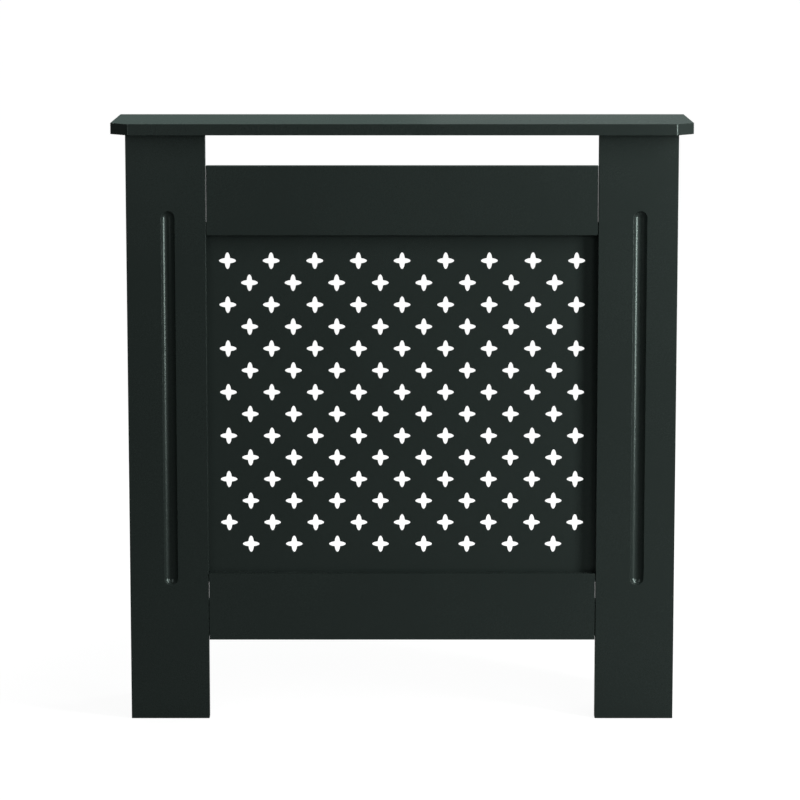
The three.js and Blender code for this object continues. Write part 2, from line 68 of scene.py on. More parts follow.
NOTCH_DEPTH = 18 * MM
NOTCH_HEIGHT = 120 * MM
NOTCH_RADIUS = 6 * MM
NOTCH_STEPS = 8

CROSS_LENGTH = 23 * MM
CROSS_LOBE_WIDTH = 7.8 * MM
CROSS_COLUMN_STEP = 29.4 * MM
CROSS_ROW_STEP = 29.875 * MM
CROSS_COLUMNS = 17
CROSS_ROWS = 14
CROSS_TOP_ROW_HEIGHT = 628.4 * MM
CROSS_STEPS_PER_LOBE = 6
CROSS_EASE = 0.35 * MM
WELD_DISTANCE = 0.01 * MM

CAM_RADIUS = 7.4 * MM
CAM_HEIGHT = 12 * MM
CAM_INSET = 34 * MM
CAM_BORE_RADIUS = 7.75 * MM
CAM_BORE_DEPTH = 12.5 * MM
BOLT_BORE_RADIUS = 4 * MM
BOLT_PILOT_RADIUS = 3.05 * MM
BOLT_PILOT_DEPTH = 11 * MM
STILE_CAM_HEIGHTS = (150 * MM, 650 * MM)
TOP_CAM_PLACES = (-25 * MM, 60 * MM)
STILE_DOWEL_HEIGHTS = (300 * MM, 500 * MM)
TOP_DOWEL_PLACE = 18 * MM
DOWEL_RADIUS = 3.85 * MM
DOWEL_BORE_RADIUS = 4.15 * MM
DOWEL_SHORT_END = 9.5 * MM
DOWEL_LONG_END = 20 * MM
BORE_CLEARANCE = 0.5 * MM

SCREW_BORE_RADIUS = 2 * MM
GRILLE_SCREW_LENGTH = 13 * MM
TIMBER_SCREW_LENGTH = 25 * MM
BRACKET_SCREW_LENGTH = 12 * MM

BATTEN_REBATE_GAP = 0.5 * MM
BATTEN_ARRIS = 0.8 * MM
BATTEN_ARRIS_STEPS = 2
BLOCK_ARRIS = 1.2 * MM

BRACKET_STEEL = 2 * MM
BRACKET_BEND = 3 * MM
BRACKET_BEND_STEPS = 5
BRACKET_CORNER_RADIUS = 3 * MM
BRACKET_CORNER_STEPS = 5
BRACKET_SLOT_INSET = 22 * MM
BRACKET_SLOT_HALF_LENGTH = 3.25 * MM
BRACKET_SLOT_RADIUS = 2.75 * MM


# ---- Node trees written as expressions -----------------------------------------------------------


class Signal:
    """An output socket that takes part in plain arithmetic."""

    def __init__(self, graph, socket):
        self.graph = graph
        self.socket = socket

    def output(self, name):
        """Another output of the same node."""
        return Signal(self.graph, self.socket.node.outputs[name])

    def __add__(self, other):
        return self.graph.math("ADD", self, other)

    __radd__ = __add__

    def __sub__(self, other):
        return self.graph.math("SUBTRACT", self, other)

    def __rsub__(self, other):
        return self.graph.math("SUBTRACT", other, self)

    def __mul__(self, other):
        return self.graph.math("MULTIPLY", self, other)

    __rmul__ = __mul__

    def __truediv__(self, other):
        return self.graph.math("DIVIDE", self, other)


class Graph:
    """A node tree and the one way in which nodes are added to it."""

    def __init__(self, tree):
        self.tree = tree

    def node(self, kind, settings=None, sockets=None, out=0):
        """Adds a node, makes its settings, then fills its sockets with values or links."""
        made = self.tree.nodes.new(kind)
        for key, value in (settings or {}).items():
            setattr(made, key, value)
        for key, value in (sockets or {}).items():
            sources = value if isinstance(value, list) else [value]
            for source in sources:
                if isinstance(source, Signal):
                    self.tree.links.new(source.socket, made.inputs[key])
                else:
                    made.inputs[key].default_value = source
        return Signal(self, made.outputs[out]) if made.outputs else None

    def math(self, operation, *values):
        return self.node("ShaderNodeMath", {"operation": operation}, dict(enumerate(values)))

    def blend(self, share, first, second):
        """A colour between two others."""
        sockets = {"Factor": share, 6: first, 7: second}
        return self.node("ShaderNodeMix", {"data_type": "RGBA"}, sockets, out=2)

    def ramp(self, value, low, high, to_low=0.0, to_high=1.0):
        """A smooth step between two values."""
        sockets = {"Value": value, 1: low, 2: high, 3: to_low, 4: to_high}
        return self.node("ShaderNodeMapRange", {"interpolation_type": "SMOOTHSTEP"}, sockets)

    def noise(self, place, scale, detail=2.0, roughness=0.5):
        sockets = {"Vector": place, "Scale": scale, "Detail": detail, "Roughness": roughness}
        return self.node("ShaderNodeTexNoise", {}, sockets)

    def stretched(self, place, scale):
        """The place with each axis scaled by its own number."""
        return self.node("ShaderNodeMapping", {}, {"Vector": place, "Scale": scale})


# ---- Finishes ------------------------------------------------------------------------------------

PAINT_ROUGHNESS = 0.27
PAINT_GLOSS = {"Specular Tint": (0.8, 1.0, 0.93, 1)}


def finish(name, build, **constants):
    """A material: `build` gives the sockets that vary, the constants go on the shader itself."""
    material = bpy.data.materials.new(name)
    material.use_nodes = True
    graph = Graph(material.node_tree)
    graph.tree.nodes.clear()
    place = graph.node("ShaderNodeTexCoord", out="Object")
    varying = build(graph, place)
    fixed = {key.replace("_", " "): value for key, value in constants.items()}
    shader = graph.node("ShaderNodeBsdfPrincipled", {}, {**fixed, **varying})
    graph.node("ShaderNodeOutputMaterial", {}, {"Surface": shader})
    return material


def bumped(graph, height, distance):
    sockets = {"Height": height, "Distance": distance, "Strength": 1.0}
    return graph.node("ShaderNodeBump", {}, sockets)


def board_paint(graph, place):
    """Sprayed satin paint on fibreboard: a fine peel, and a slow drift in tone and sheen."""
    drift = graph.noise(place, 7.0, detail=2.0)
    peel = graph.noise(place, 420.0, detail=1.0)
    grain = graph.noise(place, 1900.0, detail=1.0)
    colour = graph.blend(drift, (0.0172, 0.0236, 0.0214, 1), (0.0196, 0.0266, 0.0242, 1))
    roughness = PAINT_ROUGHNESS + (drift - 0.5) * 0.05 + (grain - 0.5) * 0.04
    height = peel * 0.7 + grain * 0.3
    return {
        "Base Color": colour,
        "Roughness": roughness,
        "Normal": bumped(graph, height, 6e-6),
    }


def raw_fibreboard(graph, place):
    fibres = graph.noise(place, 900.0, detail=4.0, roughness=0.7)
    colour = graph.blend(fibres, (0.30, 0.20, 0.115, 1), (0.44, 0.31, 0.19, 1))
    return {"Base Color": colour, "Roughness": 0.82 + (fibres - 0.5) * 0.1}


def plated_steel(graph, place):
    """Bright zinc plating with a faint rolled grain."""
    grain = graph.noise(graph.stretched(place, (160.0, 160.0, 2600.0)), 1.0, detail=3.0)
    cloud = graph.noise(place, 90.0, detail=2.0)
    colour = graph.blend(cloud, (0.56, 0.57, 0.58, 1), (0.66, 0.67, 0.68, 1))
    return {
        "Base Color": colour,
        "Roughness": 0.30 + cloud * 0.12 + (grain - 0.5) * 0.06,
        "Normal": bumped(graph, grain, 6e-6),
    }


def die_cast_zinc(graph, place):
    """Tumbled die-cast zinc, dull and slightly grainy."""
    grain = graph.noise(place, 2200.0, detail=3.0, roughness=0.6)
    cloud = graph.noise(place, 160.0, detail=2.0)
    colour = graph.blend(cloud, (0.36, 0.37, 0.385, 1), (0.47, 0.48, 0.49, 1))
    return {
        "Base Color": colour,
        "Roughness": 0.46 + (cloud - 0.5) * 0.14,
        "Normal": bumped(graph, grain, 10e-6),
    }


def black_phosphate(graph, place):
    grain = graph.noise(place, 3000.0, detail=3.0, roughness=0.6)
    colour = graph.blend(grain, (0.010, 0.010, 0.011, 1), (0.020, 0.020, 0.021, 1))
    return {
        "Base Color": colour,
        "Roughness": 0.42 + (grain - 0.5) * 0.16,
        "Normal": bumped(graph, grain, 6e-6),
    }


def bare_beech(graph, place):
    """Short dark rays in a pale even wood."""
    grain = graph.noise(graph.stretched(place, (1400.0, 1400.0, 90.0)), 1.0, detail=3.0)
    colour = graph.blend(grain, (0.66, 0.44, 0.24, 1), (0.50, 0.30, 0.14, 1))
    return {
        "Base Color": colour,
        "Roughness": 0.62 + (grain - 0.5) * 0.15,
        "Normal": bumped(graph, grain, 20e-6),
    }


PAINT = finish("satin_board_paint", board_paint, **PAINT_GLOSS)
CORE = finish("raw_fibreboard_core", raw_fibreboard)
PLATED = finish("zinc_plated_steel", plated_steel, Metallic=1.0)
DIE_CAST = finish("die_cast_zinc", die_cast_zinc, Metallic=1.0)
BLACK = finish("black_phosphate_steel", black_phosphate)
BEECH = finish("bare_beech", bare_beech)


# ---- Making pieces -------------------------------------------------------------------------------


def evaluated_mesh(obj):
    """What the object looks like with its modifiers, as a plain mesh."""
    bpy.context.view_layer.update()
    graph = bpy.context.evaluated_depsgraph_get()
    evaluated = obj.evaluated_get(graph)
    return bpy.data.meshes.new_from_object(
        evaluated, preserve_all_data_layers=True, depsgraph=graph,
    )


def new_object(name, mesh, material):
    obj = bpy.data.objects.new(name, mesh)
    bpy.context.scene.collection.objects.link(obj)
    if material and not mesh.materials:
        mesh.materials.append(material)
    return obj


def bake_modifiers(obj):
    """Puts the evaluated mesh in place of the object's own and takes the modifiers off."""
    mesh = evaluated_mesh(obj)
    obj.modifiers.clear()
    old = obj.data
    obj.data = mesh
    mesh.name = obj.name
    bpy.data.meshes.remove(old)


def shade(obj, sharp_degrees=38):
    """Smooth rounds beside flats that stay flat."""
    obj.data.shade_smooth()
    obj.data.set_sharp_from_angle(angle=math.radians(sharp_degrees))
    weights = obj.modifiers.new("weights", "WEIGHTED_NORMAL")
    weights.mode = "FACE_AREA"
    weights.keep_sharp = True
    bake_modifiers(obj)


def settle(obj, slot, *nodes):
    """Ties a finished piece to the cabinet, in place of its CAD nodes."""
    shade(obj)
    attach(obj, "root")
    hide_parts(*nodes)


def from_bmesh(name, shape, material, place=Matrix.Identity(4)):
    shape.transform(place)
    bmesh.ops.recalc_face_normals(shape, faces=shape.faces)
    mesh = bpy.data.meshes.new(name)
    shape.to_mesh(mesh)
    shape.free()
    return new_object(name, mesh, material)


def slab(outline, thickness, lid=True):
    """A prism from an outline in u and v, with its far face open where it has no lid."""
    shape = bmesh.new()
    near = [shape.verts.new((u, v, 0)) for u, v in outline]
    far = [shape.verts.new((u, v, thickness)) for u, v in outline]
    shape.faces.new(near[::-1])
    for i in range(len(outline)):
        shape.faces.new((near[i - 1], near[i], far[i], far[i - 1]))
    if lid:
        shape.faces.new(far)
    return shape, far


def ease(shape, edges, radius, steps):
    bmesh.ops.bevel(
        shape, geom=edges, offset=radius, offset_type="OFFSET", segments=steps,
        profile=0.5, affect="EDGES", clamp_overlap=True,
    )


def sharp_edges(shape, above=50):
    shape.normal_update()
    limit = math.radians(above)
    return [e for e in shape.edges if e.is_manifold and e.calc_face_angle(0) > limit]


def facing_front(back_y):
    """Stands an outline in X and Z up; its thickness runs from `back_y` towards the front."""
    return Matrix(((1, 0, 0, 0), (0, 0, -1, back_y), (0, 1, 0, 0), (0, 0, 0, 1)))


def facing_side(low_x):
    """Stands an outline in Y and Z up; its thickness runs from `low_x` towards +X."""
    return Matrix(((0, 0, 1, low_x), (1, 0, 0, 0), (0, 1, 0, 0), (0, 0, 0, 1)))


def rectangle(low_u, low_v, high_u, high_v):
    return [(low_u, low_v), (high_u, low_v), (high_u, high_v), (low_u, high_v)]


def axes_matrix(place, z_axis, y_axis):
    """A placement whose own +Z and +Y run along the given directions."""
    x_axis = y_axis.cross(z_axis)
    turn = Matrix((x_axis, y_axis, z_axis)).transposed().to_4x4()
    return Matrix.Translation(place) @ turn


def lathe(profile, facets):
    """A closed turned shape about Z from (radius, height) pairs that start and end on the axis."""
    shape = bmesh.new()
    rings = []
    for radius, height in profile:
        if radius == 0:
            rings.append([shape.verts.new((0, 0, height))] * facets)
            continue
        turns = [2 * math.pi * i / facets for i in range(facets)]
        rings.append([
            shape.verts.new((radius * math.cos(t), radius * math.sin(t), height)) for t in turns
        ])
    for low, high in zip(rings, rings[1:]):
        for i in range(facets):
            corners = [low[i - 1], low[i], high[i], high[i - 1]]
            shape.faces.new(list(dict.fromkeys(corners)))
    return shape


def cylinder(start, direction, length, radius, facets=24):
    """A cutter: a plain cylinder from `start` along `direction`."""
    shape = lathe([(0, 0), (radius, 0), (radius, length), (0, length)], facets)
    side = direction.orthogonal().normalized()
    shape.transform(axes_matrix(start, direction, side))
    return shape


def bore(mouth, direction, depth, radius, facets=24):
    return cylinder(mouth - direction * MM, direction, depth + MM, radius, facets)


def carve(obj, cutters, inside=None):
    """Takes the cutters out of the object; the cut faces show the `inside` finish."""
    joined = bmesh.new()
    for cutter in cutters:
        mesh = bpy.data.meshes.new("cutter")
        cutter.to_mesh(mesh)
        cutter.free()
        joined.from_mesh(mesh)
        bpy.data.meshes.remove(mesh)
    tool = from_bmesh("cutters", joined, inside or obj.data.materials[0])
    cut = obj.modifiers.new("cut", "BOOLEAN")
    cut.object = tool
    cut.operation = "DIFFERENCE"
    cut.solver = "EXACT"
    cut.use_self = True
    cut.material_mode = "TRANSFER"
    bake_modifiers(obj)
    bpy.data.objects.remove(tool)


# ---- Where the joints and screws are -------------------------------------------------------------

shelf_low, shelf_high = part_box("top_shelf")
grille_low, grille_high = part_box("grille_panel")
side_low, side_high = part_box("right_side_panel")
SHELF_BASE = shelf_low.z
FRAME_BACK = side_low.y
SIDE_INNER = side_low.x
SIDE_CENTRE = (side_low.x + side_high.x) / 2


def stile_joint(side, height):
    return Vector((SIDES[side] * SIDE_CENTRE, FRAME_BACK, height)), Y_AXIS


def top_joint(side, y):
    return Vector((SIDES[side] * SIDE_CENTRE, y, SHELF_BASE)), -Z_AXIS


def cam_joints(side):
    stile = [stile_joint(side, z) for z in STILE_CAM_HEIGHTS]
    top = [top_joint(side, y) for y in TOP_CAM_PLACES]
    return stile, top


def dowel_joints(side):
    return [stile_joint(side, z) for z in STILE_DOWEL_HEIGHTS], [top_joint(side, TOP_DOWEL_PLACE)]


def screw_seat(node, direction, length):
    """Where a screw's head bears, and which way it is driven, from the box of its node."""
    low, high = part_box(node)
    centre = (low + high) / 2
    reach = max(direction.dot(low), direction.dot(high))
    return centre + direction * (reach - length - direction.dot(centre)), direction, length


FORWARD = -Y_AXIS
SEATS = {}
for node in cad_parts:
    if node.startswith("grille_screw"):
        SEATS[node] = screw_seat(node, FORWARD, GRILLE_SCREW_LENGTH)
    elif node.startswith(("batten_screw", "block_screw")):
        SEATS[node] = screw_seat(node, FORWARD, TIMBER_SCREW_LENGTH)
    elif node.startswith("bracket_screw"):
        outward = X_AXIS * (-1 if "_left_" in node else 1)
        SEATS[node] = screw_seat(node, outward, BRACKET_SCREW_LENGTH)


def screw_bores(*starts):
    """Pilot holes for the screws whose names begin so."""
    return [
        bore(seat, direction, length + BORE_CLEARANCE, SCREW_BORE_RADIUS, 16)
        for node, (seat, direction, length) in SEATS.items()
        if node.startswith(starts)
    ]


def pilot(joint):
    face, inward = joint
    return bore(face, -inward, BOLT_PILOT_DEPTH, BOLT_PILOT_RADIUS)


def socket(joint):
    face, inward = joint
    return bore(face, -inward, DOWEL_SHORT_END + BORE_CLEARANCE, DOWEL_BORE_RADIUS)


def cam_bores(side, joint):
    face, inward = joint
    centre = face + inward * CAM_INSET
    mouth = Vector((SIDES[side] * SIDE_INNER, centre.y, centre.z))
    return [
        bore(face, inward, CAM_INSET, BOLT_BORE_RADIUS),
        bore(mouth, X_AXIS * SIDES[side], CAM_BORE_DEPTH, CAM_BORE_RADIUS, 40),
    ]


def dowel_bore(joint):
    face, inward = joint
    return bore(face, inward, DOWEL_LONG_END + BORE_CLEARANCE, DOWEL_BORE_RADIUS)


# ---- Boards --------------------------------------------------------------------------------------


def make_shelf():
    left, right, front, back = shelf_low.x, shelf_high.x, shelf_low.y, shelf_high.y
    cut = SHELF_CORNER_CUT
    outline = [
        (left + cut, front), (right - cut, front), (right, front + cut),
        (right, back), (left, back), (left, front + cut),
    ]
    shape, _ = slab(outline, shelf_high.z - shelf_low.z)
    upright = [e for e in sharp_edges(shape, 30) if abs(e.verts[0].co.z - e.verts[1].co.z) > MM]
    ease(shape, upright, SHELF_CORNER_ARRIS, ARRIS_STEPS)
    ease(shape, sharp_edges(shape), BOARD_ARRIS, ARRIS_STEPS)
    board = from_bmesh("shelf_board", shape, PAINT, Matrix.Translation((0, 0, shelf_low.z)))
    tops = [cam_joints(side)[1] for side in SIDES]
    dowels = [dowel_joints(side)[1] for side in SIDES]
    holes = [pilot(j) for joints in tops for j in joints]
    holes += [socket(j) for joints in dowels for j in joints]
    carve(board, holes, CORE)
    settle(board, "painted_board", "top_shelf")


def stadium(u, low, high, radius):
    """Half circles joined by straight sides, counter-clockwise from the upper one's right."""
    steps = [math.pi * i / FLUTE_ARC_STEPS for i in range(FLUTE_ARC_STEPS + 1)]
    upper = [(u + radius * math.cos(t), high + radius * math.sin(t)) for t in steps]
    lower = [(u - radius * math.cos(t), low - radius * math.sin(t)) for t in steps]
    return upper + lower


def cut_flute(shape, far, thickness):
    """Closes a board's far face round a ball-nosed flute."""
    rim_radius = math.sqrt(FLUTE_CUTTER_RADIUS**2 - (FLUTE_CUTTER_RADIUS - FLUTE_DEPTH) ** 2)
    low, high = FLUTE_BOTTOM + rim_radius, FLUTE_TOP - rim_radius
    widest = math.asin(rim_radius / FLUTE_CUTTER_RADIUS)
    rings = []
    for k in range(FLUTE_RINGS):
        angle = widest * (1 - k / (FLUTE_RINGS - 0.2))
        radius = FLUTE_CUTTER_RADIUS * math.sin(angle)
        depth = FLUTE_CUTTER_RADIUS * math.cos(angle) - (FLUTE_CUTTER_RADIUS - FLUTE_DEPTH)
        points = stadium(FLUTE_OFFSET, low, high, radius)
        rings.append([shape.verts.new((u, v, thickness - depth)) for u, v in points])
    a, b, c, d = far
    rim = rings[0]
    half = len(rim) // 2
    upper, lower = rim[:half], rim[half:]
    shape.faces.new([lower[-1], b, c, upper[0]])
    shape.faces.new([c, d, *upper[::-1]])
    shape.faces.new([upper[-1], d, a, lower[0]])
    shape.faces.new([a, b, *lower[::-1]])
    for outer, inner in zip(rings, rings[1:]):
        for i in range(len(outer)):
            shape.faces.new((outer[i - 1], outer[i], inner[i], inner[i - 1]))
    shape.faces.new(rings[-1])
    return [shape.edges.get((rim[i - 1], rim[i])) for i in range(len(rim))]


def make_stile(side):
    low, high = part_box(f"{side}_stile")
    centre, width, thickness = (low.x + high.x) / 2, high.x - low.x, high.y - low.y
    shape, far = slab(rectangle(-width / 2, low.z, width / 2, high.z), thickness, lid=False)
    rim = cut_flute(shape, far, thickness)
    rim_verts = {v for e in rim for v in e.verts}
    outer = [e for e in sharp_edges(shape) if not rim_verts & set(e.verts)]
    ease(shape, rim, FLUTE_RIM_ARRIS, 2)
    ease(shape, [e for e in outer if e.is_valid], BOARD_ARRIS, ARRIS_STEPS)
    place = Matrix.Translation((centre, 0, 0)) @ facing_front(high.y)
    board = from_bmesh(f"{side}_stile_board", shape, PAINT, place)
    holes = [pilot(joint) for joint in cam_joints(side)[0]]
    holes += [socket(joint) for joint in dowel_joints(side)[0]]
    holes += screw_bores(f"grille_screw_{side}", f"block_screw_{side}_stile")
    carve(board, holes, CORE)
    settle(board, "painted_board", f"{side}_stile")


def make_side_panel(side):
    low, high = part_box(f"{side}_side_panel")
    notch_y = high.y - NOTCH_DEPTH
    outline = [(low.y, low.z), (notch_y, low.z)]
    for step in range(NOTCH_STEPS + 1):
        angle = math.pi / 2 * step / NOTCH_STEPS
        outline.append((
            notch_y + NOTCH_RADIUS * (1 - math.cos(angle)),
            NOTCH_HEIGHT - NOTCH_RADIUS * (1 - math.sin(angle)),
        ))
    outline += [(high.y, NOTCH_HEIGHT), (high.y, high.z), (low.y, high.z)]
    shape, _ = slab(outline, high.x - low.x)
    ease(shape, sharp_edges(shape), BOARD_ARRIS, ARRIS_STEPS)
    board = from_bmesh(f"{side}_side_board", shape, PAINT, facing_side(low.x))
    stile_cams, top_cams = cam_joints(side)
    stile_dowels, top_dowels = dowel_joints(side)
    holes = [cutter for joint in stile_cams + top_cams for cutter in cam_bores(side, joint)]
    holes += [dowel_bore(joint) for joint in stile_dowels + top_dowels]
    holes += screw_bores(f"bracket_screw_{side}")
    carve(board, holes, CORE)
    settle(board, "painted_board", f"{side}_side_panel")


def make_rail(name, *screws):
    """A rail with eased long edges; its ends stay as the saw left them, close to the stiles."""
    low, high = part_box(name)
    shape, _ = slab(rectangle(low.x, low.z, high.x, high.z), high.y - low.y)
    long_edges = [e for e in sharp_edges(shape) if abs(e.verts[0].co.x - e.verts[1].co.x) > MM]
    ease(shape, long_edges, BOARD_ARRIS, ARRIS_STEPS)
    board = from_bmesh(f"{name}_board", shape, PAINT, facing_front(high.y))
    carve(board, screw_bores(*screws), CORE)
    settle(board, "painted_board", name)


# ---- Pierced grille ------------------------------------------------------------------------------


def add_input(tree, name, kind):
    item = tree.interface.new_socket(name, in_out="INPUT", socket_type=f"NodeSocket{kind}")
    return item.identifier


def grid(graph, count_u, count_v):
    """A grid whose points can be told apart by whole-number places; gives it with the places."""
    sockets = {
        "Size X": count_u - 1, "Size Y": count_v - 1, "Vertices X": count_u, "Vertices Y": count_v,
    }
    mesh = graph.node("GeometryNodeMeshGrid", {}, sockets)
    position = graph.node("GeometryNodeInputPosition")
    split = graph.node("ShaderNodeSeparateXYZ", {}, {0: position})
    u = split.output("X") + (count_u - 1) * 0.5
    v = split.output("Y") + (count_v - 1) * 0.5
    return mesh, graph.math("ROUND", u), graph.math("ROUND", v)


def moved_to(graph, mesh, x, y, z):
    position = graph.node("ShaderNodeCombineXYZ", {}, {"X": x, "Y": y, "Z": z})
    return graph.node("GeometryNodeSetPosition", {}, {"Geometry": mesh, "Position": position})


def cross_point(graph, number, steps, reach, half):
    """The x and y of one point of a cross: four elliptical lobes between inner corners."""
    corner = graph.math("ARCTAN2", reach, half)
    lobe = graph.math("FLOOR", (number + 0.01) / steps)
    share = (number - lobe * steps) / steps
    angle = corner * (share * 2 - 1)
    out = reach * graph.math("COSINE", angle)
    across = half * graph.math("SINE", angle)
    turn = lobe * (math.pi / 2)
    cosine, sine = graph.math("COSINE", turn), graph.math("SINE", turn)
    return out * cosine - across * sine, out * sine + across * cosine


def pierced_sheet_tree():
    """A sheet with crosses in alternate cells of a lattice, every rim eased on both faces."""
    tree = bpy.data.node_groups.new("pierced_sheet", "GeometryNodeTree")
    tree.interface.new_socket("Sheet", in_out="OUTPUT", socket_type="NodeSocketGeometry")
    sizes = {
        "Width": grille_high.x - grille_low.x,
        "Height": grille_high.z - grille_low.z,
        "Thickness": grille_high.y - grille_low.y,
        "Column Step": CROSS_COLUMN_STEP,
        "Row Step": CROSS_ROW_STEP,
        "Cross Length": CROSS_LENGTH,
        "Lobe Width": CROSS_LOBE_WIDTH,
        "Ease": CROSS_EASE,
        "Pattern Rise": CROSS_TOP_ROW_HEIGHT - CROSS_ROW_STEP * (CROSS_ROWS - 1) / 2
        - (grille_low.z + grille_high.z) / 2,
    }
    identifiers = {name: add_input(tree, name, "Float") for name in sizes}
    identifiers["Finish"] = add_input(tree, "Finish", "Material")
    graph = Graph(tree)
    entry = graph.node("NodeGroupInput")
    given = {name: entry.output(name) for name in identifiers}
    thickness, rim = given["Thickness"], given["Ease"]
    reach, half = given["Cross Length"] * 0.5, given["Lobe Width"] * 0.5
    points = 4 * CROSS_STEPS_PER_LOBE

    # Cells of the lattice that are pierced
    cells, column, row = grid(graph, CROSS_COLUMNS, CROSS_ROWS)
    centre_x = (column - (CROSS_COLUMNS - 1) / 2) * given["Column Step"]
    centre_y = (row - (CROSS_ROWS - 1) / 2) * given["Row Step"] + given["Pattern Rise"]
    cells = moved_to(graph, cells, centre_x, centre_y, 0.0)
    number = graph.node("GeometryNodeInputIndex")

    def on_cells(shape):
        """Copies of a shape, in the cells whose column and row from the top add up to even."""
        column_now = graph.math("FLOOR", (number + 0.01) / CROSS_ROWS)
        row_now = number - column_now * CROSS_ROWS
        odd = graph.math("MODULO", column_now + row_now + (CROSS_ROWS - 1), 2.0)
        sockets = {"Points": cells, "Selection": 1 - odd, "Instance": shape}
        placed = graph.node("GeometryNodeInstanceOnPoints", {}, sockets)
        return graph.node("GeometryNodeRealizeInstances", {}, {"Geometry": placed})

    def walls(count, place):
        """The wall of an outline, with an eased step at both faces."""
        strip, along, across = grid(graph, count + 1, 4)
        from_middle = across - 1.5
        outer = graph.math("GREATER_THAN", graph.math("ABSOLUTE", from_middle), 1.0)
        depth = thickness * 0.5 + graph.math("SIGN", from_middle) * (
            thickness * 0.5 - rim * (1 - outer)
        )
        x, y = place(along, outer)
        return moved_to(graph, strip, x, y, depth)

    def corner(along, outer):
        turn = along * (math.pi / 2) + math.pi / 4
        x = graph.math("SIGN", graph.math("COSINE", turn)) * (given["Width"] * 0.5 - rim * outer)
        y = graph.math("SIGN", graph.math("SINE", turn)) * (given["Height"] * 0.5 - rim * outer)
        return x, y

    def on_cross(along, outer):
        wider = rim * outer
        return cross_point(graph, along, CROSS_STEPS_PER_LOBE, reach + wider, half + wider)

    cross = graph.node("GeometryNodeMeshCircle", {}, {"Vertices": points, "Radius": 1.0})
    x, y = cross_point(graph, number, CROSS_STEPS_PER_LOBE, reach + rim, half + rim)
    cross = moved_to(graph, cross, x, y, 0.0)
    cross_curve = graph.node("GeometryNodeMeshToCurve", {}, {"Mesh": cross})
    border = graph.node("GeometryNodeMeshCircle", {}, {"Vertices": 4, "Radius": 1.0})
    border = moved_to(graph, border, *corner(number, 1.0), 0.0)
    border_curve = graph.node("GeometryNodeMeshToCurve", {}, {"Mesh": border})
    curves = [on_cells(cross_curve), border_curve]
    outlines = graph.node("GeometryNodeJoinGeometry", {}, {0: curves})
    back = graph.node("GeometryNodeFillCurve", {}, {"Curve": outlines})
    up = graph.node("ShaderNodeCombineXYZ", {}, {"Z": thickness})
    front = graph.node("GeometryNodeTransform", {}, {"Geometry": back, "Translation": up})
    parts = [back, front, on_cells(walls(points, on_cross)), walls(4, corner)]
    sheet = graph.node("GeometryNodeJoinGeometry", {}, {0: parts})
    sockets = {"Geometry": sheet, "Distance": WELD_DISTANCE}
    sheet = graph.node("GeometryNodeMergeByDistance", {}, sockets)
    sheet = graph.node("GeometryNodeRealizeInstances", {}, {"Geometry": sheet})
    sockets = {"Geometry": sheet, "Material": given["Finish"]}
    sheet = graph.node("GeometryNodeSetMaterial", {}, sockets)
    graph.node("NodeGroupOutput", {}, {"Sheet": sheet})
    return tree, identifiers, sizes


def make_grille():
    tree, identifiers, sizes = pierced_sheet_tree()
    sheet = new_object("pierced_grille", bpy.data.meshes.new("pierced_grille"), None)
    pierce = sheet.modifiers.new("pierce", "NODES")
    pierce.node_group = tree
    for name, value in sizes.items():
        pierce[identifiers[name]] = value
    pierce[identifiers["Finish"]] = PAINT
    bake_modifiers(sheet)
    shape = bmesh.new()
    shape.from_mesh(sheet.data)
    centre_z = (grille_low.z + grille_high.z) / 2
    shape.transform(Matrix.Translation((0, 0, centre_z)) @ facing_front(grille_high.y))
    bmesh.ops.recalc_face_normals(shape, faces=shape.faces)
    for face in shape.faces:
        face.material_index = 0
    shape.to_mesh(sheet.data)
    shape.free()
    sheet.data.materials.clear()
    sheet.data.materials.append(PAINT)
    carve(sheet, screw_bores("grille_screw"), CORE)
    settle(sheet, "painted_board", "grille_panel")


# ---- Timber --------------------------------------------------------------------------------------


def make_batten(side):
    low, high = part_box(f"{side}_grille_batten")
    rebate_y = grille_high.y
    gap = BATTEN_REBATE_GAP
    outline = [
        (low.y, low.z), (high.y, low.z), (high.y, high.z), (low.y, high.z),
        (low.y, grille_high.z + gap), (rebate_y, grille_high.z + gap),
        (rebate_y, grille_low.z - gap), (low.y, grille_low.z - gap),
    ]
    shape, _ = slab(outline, high.x - low.x)
    ease(shape, sharp_edges(shape), BATTEN_ARRIS, BATTEN_ARRIS_STEPS)
    timber = from_bmesh(f"{side}_batten_timber", shape, PAINT, facing_side(low.x))
    carve(timber, screw_bores(f"batten_screw_{side}"), CORE)
    settle(timber, "painted_board", f"{side}_grille_batten")


def make_block(side):
    low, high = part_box(f"{side}_corner_block")
    shape, _ = slab(rectangle(low.x, low.z, high.x, high.z), high.y - low.y)
    ease(shape, sharp_edges(shape), BLOCK_ARRIS, ARRIS_STEPS)
    timber = from_bmesh(f"{side}_block_timber", shape, PAINT, facing_front(high.y))
    carve(timber, screw_bores(f"block_screw_{side}"), CORE)
    settle(timber, "painted_board", f"{side}_corner_block")


# ---- Fittings ------------------------------------------------------------------------------------


